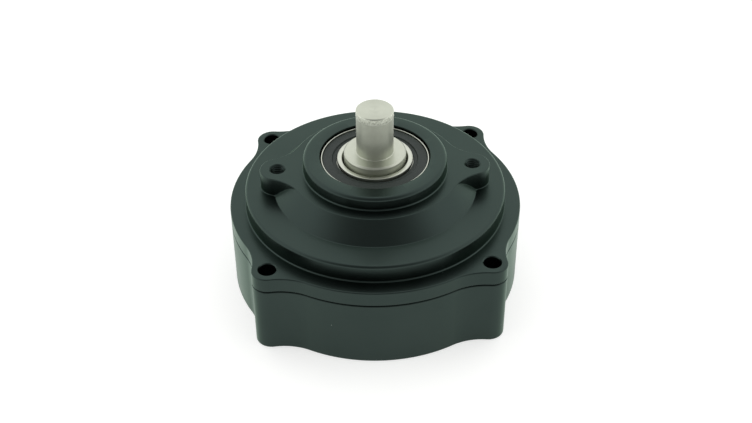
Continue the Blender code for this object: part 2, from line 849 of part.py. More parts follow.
def circlip_outline():
    """Open retaining ring with an inward ear at each end of its gap."""
    inner_r, outer_r = CIRCLIP_R
    gap_end = TURN - CIRCLIP_HALF_GAP
    ear_low = CIRCLIP_HALF_GAP + CIRCLIP_EAR
    ear_high = TURN - ear_low
    outline = arc((0.0, 0.0), outer_r, CIRCLIP_HALF_GAP, gap_end, 34)
    outline.append(on_circle(outer_r, gap_end))
    outline.append(on_circle(CIRCLIP_EAR_R, gap_end))
    outline.append(on_circle(CIRCLIP_EAR_R, ear_high))
    outline += arc((0.0, 0.0), inner_r, ear_high, ear_low, 30)
    outline.append(on_circle(inner_r, ear_low))
    outline.append(on_circle(CIRCLIP_EAR_R, ear_low))
    outline.append(on_circle(CIRCLIP_EAR_R, CIRCLIP_HALF_GAP))
    return outline


def build_circlip():
    high = BEARING_Z[0] - GAP
    low = high - CIRCLIP_THICKNESS
    bm = bmesh.new()
    add_prism(bm, circlip_outline(), low, high)
    circlip = add_piece("bearing_circlip", bm, "black_oxide")
    holes = bmesh.new()
    ear_middle = CIRCLIP_HALF_GAP + CIRCLIP_EAR / 2
    hole_distance = (CIRCLIP_EAR_R + CIRCLIP_R[0]) / 2
    for side in (1, -1):
        centre = on_circle(hole_distance, side * ear_middle)
        add_turned(holes, rod(CIRCLIP_HOLE_R, low - PAST / 2, high + PAST / 2), 8, centre)
    cut(circlip, "circlip_hole_cutter", holes)


def build_shaft_seal():
    """Spring-loaded lip seal: a steel case, a rubber lip that faces the rotors, and a garter spring."""
    low, high = SEAL_Z
    inside_r = SEAL_R - SEAL_WALL
    case = [
        (SEAL_CASE_BORE_R, high),
        (SEAL_R - EDGE, high),
        (SEAL_R, high - EDGE),
        (SEAL_R, low),
        (inside_r, low),
        (inside_r, high - SEAL_WALL),
        (SEAL_CASE_BORE_R, high - SEAL_WALL),
    ]
    bm = bmesh.new()
    add_turned(bm, case, MEDIUM)
    add_piece("shaft_seal_case", bm, "black_oxide")

    web_high = high - SEAL_WALL - GAP
    web_low = web_high - SEAL_WALL
    end_low, end_high = LIP_END_R
    lip = [
        (inside_r - GAP, web_high),
        (LIP_ROOT_R, web_high),
        LIP_TIP,
        (end_low, LIP_END_Z),
        (end_high, LIP_END_Z),
        (end_high, web_low - LIP_FILLET),
        (end_high + LIP_FILLET, web_low),
        (inside_r - GAP, web_low),
    ]
    bm = bmesh.new()
    add_turned(bm, lip, MEDIUM)
    add_piece("shaft_seal_lip", bm, "seal_rubber")

    bm = bmesh.new()
    add_turned(bm, circle(GARTER_SECTION_R, 6, (GARTER_R, GARTER_Z)), MEDIUM)
    add_piece("seal_garter_spring", bm, "turned_steel")


def build_cover_o_ring():
    bm = bmesh.new()
    add_turned(bm, circle(O_RING_SECTION_R, 6, (O_RING_R, O_RING_Z)), MEDIUM)
    add_piece("cover_o_ring", bm, "seal_rubber")


# ---------------------------------------------------------------- fasteners


def hexagon(across_flats, points_per_edge):
    """Hexagon sampled evenly along its edges."""
    corner_r = across_flats / math.sqrt(3)
    corners = circle(corner_r, 6)
    outline = []
    for (x0, y0), (x1, y1) in zip(corners, corners[1:] + corners[:1]):
        for k in range(points_per_edge):
            share = k / points_per_edge
            outline.append((x0 + (x1 - x0) * share, y0 + (y1 - y0) * share))
    return outline


def screw_mesh():
    """Socket-head cap screw, head to the rear, lofted from its tip to the floor of its socket."""
    head_low, head_high = SCREW_HEAD_Z
    levels = [
        (SCREW_R - EDGE, SCREW_TIP_Z),
        (SCREW_R, SCREW_TIP_Z - EDGE),
        (SCREW_R, head_high),
        (SCREW_HEAD_R, head_high),
        (SCREW_HEAD_R, head_low + EDGE),
        (SCREW_HEAD_R - EDGE, head_low),
    ]
    rings = [at_height(circle(radius, SMALL), z) for radius, z in levels]
    socket = hexagon(SOCKET_FLATS, SMALL // 6)
    rings += [at_height(socket, head_low), at_height(socket, head_low + SOCKET_DEPTH)]
    bm = bmesh.new()
    add_loft(bm, rings)
    mesh = mesh_from("cover_screw", bm)
    mesh.materials.append(finish_material("black_oxide"))
    return mesh


def build_fasteners():
    screw = screw_mesh()
    for i, angle in enumerate(SCREW_ANGLES):
        x, y = on_circle(SCREW_CIRCLE_R, angle)
        add_object(f"cover_screw_{i + 1}", screw, (x, y, 0.0))
    for name, angle in zip(("cover_dowel_right", "cover_dowel_left"), DOWEL_ANGLES):
        bm = bmesh.new()
        add_turned(bm, rod(DOWEL_R, *DOWEL_Z, EDGE), SMALL, on_circle(SCREW_CIRCLE_R, angle))
        add_piece(name, bm, "turned_steel")
    bm = bmesh.new()
    add_turned(bm, rod(RING_DOWEL_R, *RING_DOWEL_Z, EDGE), RING_DOWEL_SIDES, (0.0, RING_DOWEL_Y))
    add_piece("ring_dowel", bm, "turned_steel")


# ---------------------------------------------------------------- assembly


def main():
    clear_scene()
    shaft_axis = add_object("shaft_axis", None)
    cage_axis = add_object("cage_axis", None)
    outer_axis = add_object("outer_rotor_axis", None, (0.0, -ECCENTRICITY, 0.0))
    build_housing()
    build_front_cover()
    build_rotors(shaft_axis, outer_axis)
    build_eccentric_ring()
    build_side_plates()
    build_shaft(shaft_axis)
    build_key(shaft_axis)
    build_rear_bush()
    build_bearing_rings(shaft_axis)
    build_bearing_seals()
    build_cage_and_balls(cage_axis)
    build_circlip()
    build_shaft_seal()
    build_cover_o_ring()
    build_fasteners()


main()
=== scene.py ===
"""Looks of the hydraulic motor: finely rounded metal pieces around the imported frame, in a light tent.

Lengths are millimetres until a mesh is made, when MM turns them into metres. Most pieces are skinned
from rings round the shaft's axis, where a ring is one radius and one height for each angle.
"""

import json
import math

import bmesh
import bpy
import numpy as np
from mathutils import Matrix, Vector


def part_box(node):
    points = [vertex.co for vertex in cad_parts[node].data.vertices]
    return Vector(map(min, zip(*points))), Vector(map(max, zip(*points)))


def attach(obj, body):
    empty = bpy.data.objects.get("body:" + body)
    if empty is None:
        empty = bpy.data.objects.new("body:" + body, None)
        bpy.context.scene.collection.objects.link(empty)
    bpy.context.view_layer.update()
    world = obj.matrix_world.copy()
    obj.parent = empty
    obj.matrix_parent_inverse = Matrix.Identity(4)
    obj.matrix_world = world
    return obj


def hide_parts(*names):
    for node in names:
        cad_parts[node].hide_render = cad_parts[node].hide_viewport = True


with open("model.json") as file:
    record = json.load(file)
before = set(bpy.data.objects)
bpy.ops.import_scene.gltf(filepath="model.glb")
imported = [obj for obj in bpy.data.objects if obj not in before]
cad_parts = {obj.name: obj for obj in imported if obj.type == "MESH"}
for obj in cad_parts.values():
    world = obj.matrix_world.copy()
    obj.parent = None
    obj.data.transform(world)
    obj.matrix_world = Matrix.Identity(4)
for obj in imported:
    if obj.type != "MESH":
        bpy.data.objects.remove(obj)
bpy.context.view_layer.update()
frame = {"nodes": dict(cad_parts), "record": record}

MM = 0.001
TURN = 2 * math.pi
GAP = 0.3


def span(node, axis=2):
    """Lowest and highest value of a CAD node along an axis, in millimetres."""
    low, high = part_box(node)
    return low[axis] / MM, high[axis] / MM


# Heights and radii that the frame's boxes give
HOUSING_LOW, HOUSING_TOP = span("housing")
SPIGOT_LOW, PILOT_Z = span("front_cover")
BODY_R = span("housing", 0)[1]
BEARING_LOW, BEARING_TOP = span("bearing_outer_ring")
BEARING_OUT_R = span("bearing_outer_ring", 0)[1]
SHAFT_LOW, SHAFT_TOP = span("drive_shaft")
SEAL_LOW, SEAL_TOP = span("shaft_seal_case")
SEAL_R = span("shaft_seal_case", 0)[1]
ROTOR_LOW, ROTOR_TOP = span("inner_rotor")
PORT_PLATE_LOW, PORT_PLATE_TOP = span("port_plate")
PLATE_R = span("port_plate", 0)[1]

# Outline of the housing and the front cover
EAR_CIRCLE_R = 49.0
EAR_R = 5.0
EAR_BLEND_R = 19.0
EAR_ANGLES = np.radians([45.0, 135.0, 225.0, 315.0])
EAR_HOLE_R = 2.75
EAR_BREAK = 0.28

# Front cover
COVER_LOW = HOUSING_TOP + GAP
FLANGE_Z = 28.5
DISC_Z = 34.5
PLATFORM_Z = 41.0
DISC_R = 42.25
CONE_FOOT_R = 33.0
PLATFORM_R = 27.5
LUG_X = 31.5
LUG_R = 5.65
LUG_BLEND_R = 15.2
PILOT_R = 23.15
LIP_R = 17.8
LUG_HOLE_R = 2.1
LUG_HOLE_DEPTH = 10.0
LUG_MOUTH_R = 2.7
LUG_THREAD = (0.3, 0.8)  # depth and pitch
SEAM_CHAMFER = 0.2
PILOT_ROUND = 1.2
DISC_ROUND = 1.0
FLANGE_ROUND = 0.5
PLATFORM_ROUND = 0.3
FOOT_FILLET = 0.45
CONE_FILLET = 0.4
LUG_FOOT = 0.6
COVER_SCREW_HOLE_TOP = 32.5
COVER_DOWEL_HOLE_TOP = 27.5
CIRCLIP_GROOVE_R = 19.9

# Screws and dowels
SCREW_CIRCLE_R = 38.5
SCREW_ANGLES = [math.radians(30 + 60 * i) for i in range(6)]
SCREW_R = 2.0
SCREW_HEAD_R = 3.5
SCREW_HEAD_HEIGHT = 4.0
SOCKET_FLATS = 3.0
SOCKET_DEPTH = 2.0
SCREW_HOLE_R = 2.3
COUNTERBORE_R = 4.2
COUNTERBORE_DEPTH = 4.8
DOWEL_ANGLES = [0.0, math.pi]
RING_DOWEL_HOLE_R = 1.8
RING_DOWEL_Y = 28.65
RING_DOWEL_HOLE_LOW = 5.5
HOUSING_DOWEL_HOLE_LOW = 18.5

# Housing: rotor chamber, ports with drilled passages, kidney galleries and O-ring groove
CHAMBER_R = 32.5
FLOOR_Z = 9.0
BUSH_POCKET_R = 9.3
BUSH_POCKET_Z = 2.5
PORT_X = 17.5
PORT_R = 4.4
PORT_DEPTH = 6.0
PORT_MOUTH_R = 5.05
PORT_THREAD = (0.5, 0.907)  # depth and pitch
PASSAGE_R = 1.8
PASSAGE_Y = 2.2
GALLERY_Z = 7.0
KIDNEY_MID_R = 17.5
KIDNEY_WIDTH = 5.8
KIDNEY_HALF_ANGLE = math.radians(48)
GROOVE_R = (33.3, 35.3)
GROOVE_Z = 21.4

# Shaft
SHAFT_R = 6.0
JOURNAL_R = 10.0
JOURNAL_TOP = 47.3
JOURNAL_EDGE = 0.5
SEAL_LAND_R = 11.0
SEAL_LAND_Z = 22.2
ROTOR_SEAT_R = 8.0
REAR_JOURNAL_R = 7.0
KEYWAY_HALF_WIDTH = 2.5
KEYWAY_X = (5.0, 12.0)
BAND_HEIGHT = 2.15
# Width of the painted highlight ring at the band's foot
BAND_HIGHLIGHT_WIDTH = 0.11
BAND_STEP = 0.07

# Bearing
RACE_R = (12.1, 17.0)
RACE_STEP = 1.4
BALL_CIRCLE_R = 14.3
BALL_GROOVE_R = 2.4
BEARING_SEAL_BORE_R = 12.4
SEAL_FIT = 0.12
BEARING_SEAL_THICKNESS = 0.8

# Floor, just under the object
FLOOR_REACH = 3000
FLOOR_HEIGHTS = (-2, -0.02)

# Camera, fitted to the outlines, holes and rings of the object
CAMERA_AZIMUTH = math.radians(-2.26)
CAMERA_ELEVATION = math.radians(38.49)
CAMERA_ROLL = math.radians(-0.36)
CAMERA_DISTANCE = 0.4155
CAMERA_TARGET = Vector((0.00022, 0.0, 0.02227))
CAMERA_LENS = 59.9

# Light tent: its light, and the dark opening in front (a direction, and the cosine where it has faded)
TENT_OPENING = (-0.03, -0.79, 0.62)
TENT_LIGHT = 1.3
OPENING_LIGHT = 0.28
OPENING_EDGE = 0.35


# ---------------------------------------------------------------- rings and meshes


def even_angles(count):
    return np.arange(count) * TURN / count


def fillet(before, corner, after, radius, steps):
    """Rounds one corner of a profile of (radius, height), each a number or one value for each angle."""
    to_before = [b - c for b, c in zip(before, corner)]
    to_after = [a - c for a, c in zip(after, corner)]
    length_before = np.hypot(*to_before) + 1e-9
    length_after = np.hypot(*to_after) + 1e-9
    unit_before = [d / length_before for d in to_before]
    unit_after = [d / length_after for d in to_after]
    cosine = np.clip(unit_before[0] * unit_after[0] + unit_before[1] * unit_after[1], -1, 0.999)
    half = np.arccos(cosine) / 2
    cut = np.minimum(radius / np.tan(half), 0.45 * np.minimum(length_before, length_after))
    start = [c + d * cut for c, d in zip(corner, unit_before)]
    end = [c + d * cut for c, d in zip(corner, unit_after)]
    weight = np.sin(half)
    rings = []
    for t in np.linspace(0.0, 1.0, steps + 1):
        a, b, c = (1 - t) ** 2, 2 * weight * t * (1 - t), t**2
        rings.append([(a * s + b * m + c * e) / (a + b + c) for s, m, e in zip(start, corner, end)])
    return rings


def rounded(corners, closed):
    """Rings along a profile whose corners are (radius, height, rounding radius)."""
    points = [(np.asarray(r, float), np.asarray(z, float)) for r, z, _ in corners]
    rings = []
    for i, (_, _, rounding) in enumerate(corners):
        at_end = i in (0, len(corners) - 1)
        if rounding == 0 or (at_end and not closed):
            rings.append(points[i])
            continue
        steps = 3 if rounding < 0.25 else 5 if rounding < 1 else 9
        rings += fillet(points[i - 1], points[i], points[(i + 1) % len(points)], rounding, steps)
    return rings


def finished_object(name, points, faces, material):
    """A smooth-shaded object from points in millimetres, its doubled points merged and its faces out."""
    mesh = bpy.data.meshes.new(name)
    mesh.from_pydata((np.asarray(points) * MM).tolist(), [], faces)
    bm = bmesh.new()
    bm.from_mesh(mesh)
    bmesh.ops.remove_doubles(bm, verts=bm.verts, dist=1e-7)
    bmesh.ops.recalc_face_normals(bm, faces=bm.faces)
    bm.to_mesh(mesh)
    bm.free()
    mesh.shade_smooth()
    mesh.set_sharp_from_angle(angle=math.radians(32))
    if material is not None:
        mesh.materials.append(material)
    made = bpy.data.objects.new(name, mesh)
    bpy.context.scene.collection.objects.link(made)
    return made


def skin(name, loops, material, closed=False):
    """Skins loops of equal point counts, running outwards over a top and down an outer wall."""
    count, total = len(loops[0]), len(loops)
    faces = []
    for j in range(total if closed else total - 1):
        a, b = j * count, ((j + 1) % total) * count
        for i in range(count):
            k = (i + 1) % count
            faces.append((a + i, b + i, b + k, a + k))
    return finished_object(name, np.concatenate(loops), faces, material)


def around(ring, angles, centre=(0.0, 0.0)):
    """The points of one ring of (radius, height), set round an axis parallel to Z."""
    radius, height = (np.broadcast_to(value, len(angles)) for value in ring)
    x = centre[0] + radius * np.cos(angles)
    y = centre[1] + radius * np.sin(angles)
    return np.column_stack([x, y, height])


def turned(name, corners, material, sides=192, closed=True, angles=None, centre=(0.0, 0.0)):
    """A solid of revolution, or of near revolution where a corner holds one value for each angle."""
    angles = even_angles(sides) if angles is None else angles
    loops = [around(ring, angles, centre) for ring in rounded(corners, closed)]
    return skin(name, loops, material, closed)


def apply_modifiers(piece):
    """Bakes the piece's modifiers into its mesh."""
    graph = bpy.context.evaluated_depsgraph_get()
    mesh = bpy.data.meshes.new_from_object(piece.evaluated_get(graph))
    piece.modifiers.clear()
    piece.data = mesh


def cut(piece, *cutters):
    """Subtracts the cutters from the piece for good, and throws them away."""
    for cutter in cutters:
        modifier = piece.modifiers.new(cutter.name, "BOOLEAN")
        modifier.operation = "DIFFERENCE"
        modifier.solver = "EXACT"
        modifier.object = cutter
    apply_modifiers(piece)
    for cutter in cutters:
        bpy.data.objects.remove(cutter, do_unlink=True)
    even_normals(piece)


def even_normals(piece):
    """Keeps flat faces flat-looking where they run into a small rounding."""
    piece.data.shade_smooth()
    piece.data.set_sharp_from_angle(angle=math.radians(32))
    modifier = piece.modifiers.new("even_normals", "WEIGHTED_NORMAL")
    modifier.keep_sharp = True
    apply_modifiers(piece)


def joined(name, pieces):
    """One object that holds the meshes of several."""
    bm = bmesh.new()
    for piece in pieces:
        bm.from_mesh(piece.data)
        bpy.data.objects.remove(piece, do_unlink=True)
    mesh = bpy.data.meshes.new(name)
    bm.to_mesh(mesh)
    bm.free()
    made = bpy.data.objects.new(name, mesh)
    bpy.context.scene.collection.objects.link(made)
    return made


def placed(piece, body, node):
    """The piece rides on a body and stands for a CAD node."""
    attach(piece, body)
    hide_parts(node)
    return piece


# ---------------------------------------------------------------- outlines


def lobed_radius(angles, body_r, lobe_distance, lobe_r, blend_r, lobe_angles):
    """Distance from the axis to a circle with round lobes, joined to it by concave blends."""
    reach = body_r + blend_r
    cosine = (reach**2 + lobe_distance**2 - (lobe_r + blend_r) ** 2) / (2 * reach * lobe_distance)
    swing = math.acos(cosine)
    contact = math.atan2(reach * math.sin(swing), reach * cosine - lobe_distance)
    touch = math.atan2(lobe_r * math.sin(contact), lobe_distance + lobe_r * math.cos(contact))
    away = [np.abs((angles - lobe + math.pi) % TURN - math.pi) for lobe in lobe_angles]
    away = np.min(away, axis=0)
    radius = np.full(len(angles), float(body_r))
    blend = away < swing
    turn = away[blend] - swing
    under_root = np.maximum(0.0, blend_r**2 - (reach * np.sin(turn)) ** 2)
    radius[blend] = reach * np.cos(turn) - np.sqrt(under_root)
    lobe = away < touch
    offset = lobe_distance * np.sin(away[lobe])
    radius[lobe] = lobe_distance * np.cos(away[lobe]) + np.sqrt(lobe_r**2 - offset**2)
    return radius


def eared_radius(angles, inset=0.0):
    return lobed_radius(
        angles, BODY_R - inset, EAR_CIRCLE_R, EAR_R - inset, EAR_BLEND_R + inset, EAR_ANGLES
    )


def lug_radius(angles, inset=0.0):
    return lobed_radius(
        angles, PLATFORM_R - inset, LUG_X, LUG_R - inset, LUG_BLEND_R + inset, np.array([0.0, math.pi])
    )


def crowded_angles(centres, half_width, fine, coarse):
    """Angles round a full turn, closer together near the given centres."""
    angles = []
    angle = 0.0
    while angle < TURN - 1e-6:
        angles.append(angle)
        near = min(abs((angle - c + math.pi) % TURN - math.pi) for c in centres)
        angle += fine if near < half_width else coarse
    return np.array(angles)


# ---------------------------------------------------------------- holes


def drill(corners, centre, sides=64):
    """A round cutter whose profile runs down from its top centre."""
    return turned("drill", [(r, z, 0) for r, z in corners], None, sides, False, None, centre)


def thread_cutter(minor_r, depth, pitch, low, high, mouth, centre, sides=48, rows_per_turn=6):
    """A cutter with a helical thread on its wall and a conical mouth."""
    angles = even_angles(sides)
    step = pitch / rows_per_turn
    rows = int((high - low) / step)
    loops = []
    for row in range(rows + 1):
        height = low + row * step
        phase = (height / pitch - angles / TURN) % 1.0
        groove = minor_r + depth * np.clip(1.25 - 2.5 * np.abs(phase - 0.5), 0.0, 1.0)
        cone = mouth["radius"] - abs(height - mouth["z"])
        radius = np.maximum(groove, cone)
        if mouth["beyond"](height):
            radius = np.full(sides, mouth["radius"] + 0.3)
        loops.append(around((radius, height), angles, centre))
    ends = [around((0.0, low + end * step), angles, centre) for end in (0, rows)]
    return skin("thread", [ends[0], *loops, ends[1]], None)


def plain_hole(radius, low, high, centre):
    return drill([(0, high), (radius, high), (radius, low), (0, low)], centre)


def blind_hole(radius, top, centre):
    """A cutter for a hole from below the cover up to its drilled end."""
    low = SPIGOT_LOW - 1
    return drill([(0, top + radius / 3), (radius, top), (radius, low), (0, low)], centre)


def ear_drills(low, high, rim_z, outwards):
    """Mounting holes through the ears, their rim broken where it meets the outside."""
    rim = EAR_HOLE_R + EAR_BREAK
    if outwards > 0:
        corners = [(0, high), (rim + 0.5, high), (rim + 0.5, rim_z + 0.02), (rim, rim_z)]
        corners += [(EAR_HOLE_R, rim_z - EAR_BREAK), (EAR_HOLE_R, low), (0, low)]
    else:
        corners = [(0, high), (EAR_HOLE_R, high), (EAR_HOLE_R, rim_z + EAR_BREAK), (rim, rim_z)]
        corners += [(rim + 0.5, rim_z - 0.02), (rim + 0.5, low), (0, low)]
    centres = [(EAR_CIRCLE_R * math.cos(a), EAR_CIRCLE_R * math.sin(a)) for a in EAR_ANGLES]
    return [drill(corners, centre, 96) for centre in centres]


# ---------------------------------------------------------------- node materials


def new_material(name):
    material = bpy.data.materials.new(name)
    material.use_nodes = True
    nodes = material.node_tree.nodes
    return material, nodes, material.node_tree.links, nodes["Principled BSDF"]


def object_position(nodes):
    return nodes.new("ShaderNodeTexCoord").outputs["Object"]


def math_node(nodes, links, operation, first, second=None):
    node = nodes.new("ShaderNodeMath")
    node.operation = operation
    for socket, value in zip(node.inputs, (first, second)):
        if isinstance(value, (int, float)):
            socket.default_value = value
        elif value is not None:
            links.new(value, socket)
    return node.outputs[0]


def noise(nodes, links, vector, scale, detail=2.0, roughness=0.5):
    node = nodes.new("ShaderNodeTexNoise")
    node.inputs["Scale"].default_value = scale
    node.inputs["Detail"].default_value = detail
    node.inputs["Roughness"].default_value = roughness
    links.new(vector, node.inputs["Vector"])
    return node.outputs["Fac"]


def mapped(nodes, links, value, from_low, from_high, to_low, to_high):
    node = nodes.new("ShaderNodeMapRange")
    links.new(value, node.inputs["Value"])
    for name, number in (
        ("From Min", from_low),
        ("From Max", from_high),
        ("To Min", to_low),
        ("To Max", to_high),
    ):
        node.inputs[name].default_value = number
    return node.outputs["Result"]


def mixed_colour(nodes, links, factor, first, second):
    node = nodes.new("ShaderNodeMix")
    node.data_type = "RGBA"
    links.new(factor, node.inputs["Factor"])
    for socket, value in ((node.inputs["A"], first), (node.inputs["B"], second)):
        if isinstance(value, tuple):
            socket.default_value = (*value, 1.0)
        else:
            links.new(value, socket)
    return node.outputs["Result"]


def lathe_vector(nodes, links, position, radial, axial):
    """Texture space that has no angle in it, so a noise in it draws rings, as a lathe tool does."""
    split = nodes.new("ShaderNodeSeparateXYZ")
    links.new(position, split.inputs[0])
    x_squared = math_node(nodes, links, "MULTIPLY", split.outputs["X"], split.outputs["X"])
    y_squared = math_node(nodes, links, "MULTIPLY", split.outputs["Y"], split.outputs["Y"])
    total = math_node(nodes, links, "ADD", x_squared, y_squared)
    reach = math_node(nodes, links, "SQRT", total)
    joined_vector = nodes.new("ShaderNodeCombineXYZ")
    links.new(math_node(nodes, links, "MULTIPLY", reach, radial), joined_vector.inputs["X"])
    links.new(math_node(nodes, links, "MULTIPLY", split.outputs["Z"], axial), joined_vector.inputs["Z"])
    return joined_vector.outputs[0]


def bumped(nodes, links, height, strength, distance, normal=None):
    node = nodes.new("ShaderNodeBump")
    node.inputs["Strength"].default_value = strength
    node.inputs["Distance"].default_value = distance
    links.new(height, node.inputs["Height"])
    if normal is not None:
        links.new(normal, node.inputs["Normal"])
    return node.outputs["Normal"]


def stretch_highlights(nodes, links, shader, amount):
    """Stretches highlights across the turning marks round Z."""
    tangent = nodes.new("ShaderNodeTangent")
    tangent.direction_type = "RADIAL"
    tangent.axis = "Z"
    links.new(tangent.outputs[0], shader.inputs["Tangent"])
    shader.inputs["Anisotropic"].default_value = amount
    shader.inputs["Anisotropic Rotation"].default_value = 0.25


def black_anodised():
    """Satin black over a fine machined surface, with slight cloudiness and a few specks of dust."""
    material, nodes, links, shader = new_material("black_anodised")
    position = object_position(nodes)
    cloud = noise(nodes, links, position, 60.0, 4.0)
    grain = noise(nodes, links, position, 5200.0, 2.0)
    rings = noise(nodes, links, lathe_vector(nodes, links, position, 1.0, 1.0), 3200.0, 3.0)
    dye = mixed_colour(nodes, links, cloud, (0.031, 0.044, 0.040), (0.040, 0.055, 0.050))
    specks = nodes.new("ShaderNodeTexVoronoi")
    specks.inputs["Scale"].default_value = 260.0
    links.new(position, specks.inputs["Vector"])
    near = mapped(nodes, links, specks.outputs["Distance"], 0.022, 0.034, 1.0, 0.0)
    chance = nodes.new("ShaderNodeSeparateColor")
    links.new(specks.outputs["Color"], chance.inputs[0])
    rare = math_node(nodes, links, "GREATER_THAN", chance.outputs["Red"], 0.9)
    dust = math_node(nodes, links, "MULTIPLY", near, rare)
    links.new(mixed_colour(nodes, links, dust, dye, (0.30, 0.33, 0.32)), shader.inputs["Base Color"])
    shader.inputs["Metallic"].default_value = 1.0
    shader.inputs["Specular Tint"].default_value = (0.86, 1.0, 0.90, 1.0)
    rough = mapped(nodes, links, cloud, 0.3, 0.7, 0.28, 0.35)
    links.new(rough, shader.inputs["Roughness"])
    normal = bumped(nodes, links, grain, 0.10, 0.00004)
    links.new(bumped(nodes, links, rings, 0.05, 0.00004, normal), shader.inputs["Normal"])
    return material


def turned_steel():
    """Turned steel with fine rings, and a mottled band near the shaft's end above a painted highlight: a
    thin bright ring of colour at the band's foot.
    """
    material, nodes, links, shader = new_material("turned_steel")
    position = object_position(nodes)
    lathe = lathe_vector(nodes, links, position, 1.0, 1.0)
    fine = noise(nodes, links, lathe, 6500.0, 4.0, 0.6)
    broad = noise(nodes, links, lathe, 900.0, 2.0)
    stain = noise(nodes, links, position, 420.0, 5.0, 0.6)
    metal = mixed_colour(nodes, links, stain, (0.45, 0.47, 0.395), (0.50, 0.525, 0.445))
    blotch = mapped(nodes, links, noise(nodes, links, position, 1500.0, 3.0), 0.35, 0.65, 0.0, 1.0)
    mottled = mixed_colour(nodes, links, blotch, (0.44, 0.46, 0.38), (0.74, 0.77, 0.67))
    height = nodes.new("ShaderNodeSeparateXYZ")
    links.new(position, height.inputs[0])
    foot = (SHAFT_TOP - BAND_HEIGHT) * MM
    above_foot = mapped(nodes, links, height.outputs["Z"], foot, foot + 0.0001, 0.0, 1.0)
    edge = (SHAFT_TOP - 0.3) * MM
    below_edge = mapped(nodes, links, height.outputs["Z"], edge, edge + 0.0001, 1.0, 0.0)
    band = math_node(nodes, links, "MULTIPLY", above_foot, below_edge)
    banded = mixed_colour(nodes, links, band, metal, mottled)
    # Painted highlight: a thin bright ring of colour at the band's foot, standing in for light caught by
    # the step's edge
    from_foot = math_node(nodes, links, "SUBTRACT", height.outputs["Z"], foot)
    distance = math_node(nodes, links, "ABSOLUTE", from_foot)
    line = math_node(nodes, links, "LESS_THAN", distance, BAND_HIGHLIGHT_WIDTH * MM)
    links.new(mixed_colour(nodes, links, line, banded, (0.80, 0.83, 0.74)), shader.inputs["Base Color"])
    shader.inputs["Metallic"].default_value = 1.0
    links.new(mapped(nodes, links, broad, 0.3, 0.7, 0.34, 0.42), shader.inputs["Roughness"])
    links.new(bumped(nodes, links, fine, 0.03, 0.00002), shader.inputs["Normal"])
    stretch_highlights(nodes, links, shader, 0.6)
    return material


def bearing_steel():
    """Ground and polished, with faint grinding rings."""
    material, nodes, links, shader = new_material("bearing_steel")
    position = object_position(nodes)
    fine = noise(nodes, links, lathe_vector(nodes, links, position, 1.0, 1.0), 7000.0, 3.0)
    film = noise(nodes, links, position, 300.0, 3.0)
    metal = mixed_colour(nodes, links, film, (0.48, 0.50, 0.43), (0.56, 0.58, 0.51))
    links.new(metal, shader.inputs["Base Color"])
    shader.inputs["Metallic"].default_value = 1.0
    links.new(mapped(nodes, links, film, 0.3, 0.7, 0.26, 0.34), shader.inputs["Roughness"])
    links.new(bumped(nodes, links, fine, 0.08, 0.00002), shader.inputs["Normal"])
    return material


def seal_rubber():
    """Dark nitrile with a matt, slightly uneven skin."""
    material, nodes, links, shader = new_material("seal_rubber")
    position = object_position(nodes)
    skin_noise = noise(nodes, links, position, 2600.0, 4.0)
    cloud = noise(nodes, links, position, 240.0, 3.0)
    colour = mixed_colour(nodes, links, cloud, (0.008, 0.016, 0.012), (0.015, 0.026, 0.021))
    links.new(colour, shader.inputs["Base Color"])
    links.new(mapped(nodes, links, skin_noise, 0.3, 0.7, 0.56, 0.70), shader.inputs["Roughness"])
    links.new(bumped(nodes, links, skin_noise, 0.25, 0.00005), shader.inputs["Normal"])
    return material


def rotor_steel():
    """Hardened steel, lapped grey, with fine scratches in every direction."""
    material, nodes, links, shader = new_material("rotor_steel")
    position = object_position(nodes)
    scratch = noise(nodes, links, position, 2400.0, 6.0, 0.7)
    colour = mixed_colour(nodes, links, scratch, (0.30, 0.30, 0.31), (0.44, 0.44, 0.45))
    links.new(colour, shader.inputs["Base Color"])
    shader.inputs["Metallic"].default_value = 1.0
    links.new(mapped(nodes, links, scratch, 0.3, 0.7, 0.26, 0.42), shader.inputs["Roughness"])
    links.new(bumped(nodes, links, scratch, 0.12, 0.00003), shader.inputs["Normal"])
    return material


def bronze():
    """Machined bearing bronze with turning rings and a little brown tarnish."""
    material, nodes, links, shader = new_material("bronze")
    position = object_position(nodes)
    rings = noise(nodes, links, lathe_vector(nodes, links, position, 1.0, 1.0), 4200.0, 3.0)
    tarnish = noise(nodes, links, position, 160.0, 5.0, 0.6)
    colour = mixed_colour(nodes, links, tarnish, (0.46, 0.26, 0.11), (0.66, 0.43, 0.20))
    links.new(colour, shader.inputs["Base Color"])
    shader.inputs["Metallic"].default_value = 1.0
    links.new(mapped(nodes, links, tarnish, 0.3, 0.7, 0.42, 0.28), shader.inputs["Roughness"])
    links.new(bumped(nodes, links, rings, 0.18, 0.00003), shader.inputs["Normal"])
    return material


def black_oxide():
    """Oiled black oxide on steel: near black, slightly blotchy."""
    material, nodes, links, shader = new_material("black_oxide")
    position = object_position(nodes)
    blotch = noise(nodes, links, position, 700.0, 5.0, 0.6)
    colour = mixed_colour(nodes, links, blotch, (0.035, 0.034, 0.036), (0.075, 0.073, 0.076))
    links.new(colour, shader.inputs["Base Color"])
    shader.inputs["Metallic"].default_value = 1.0
    links.new(mapped(nodes, links, blotch, 0.3, 0.7, 0.30, 0.48), shader.inputs["Roughness"])
    links.new(bumped(nodes, links, blotch, 0.15, 0.00004), shader.inputs["Normal"])
    return material


def cage_plastic():
    """Natural nylon with fine glass filling."""
    material, nodes, links, shader = new_material("cage_plastic")
    position = object_position(nodes)
    filling = noise(nodes, links, position, 2200.0, 4.0)
    colour = mixed_colour(nodes, links, filling, (0.52, 0.42, 0.26), (0.68, 0.58, 0.38))
    links.new(colour, shader.inputs["Base Color"])
    links.new(mapped(nodes, links, filling, 0.3, 0.7, 0.42, 0.58), shader.inputs["Roughness"])
    links.new(bumped(nodes, links, filling, 0.15, 0.00004), shader.inputs["Normal"])
    return material


# ---------------------------------------------------------------- housing and cover


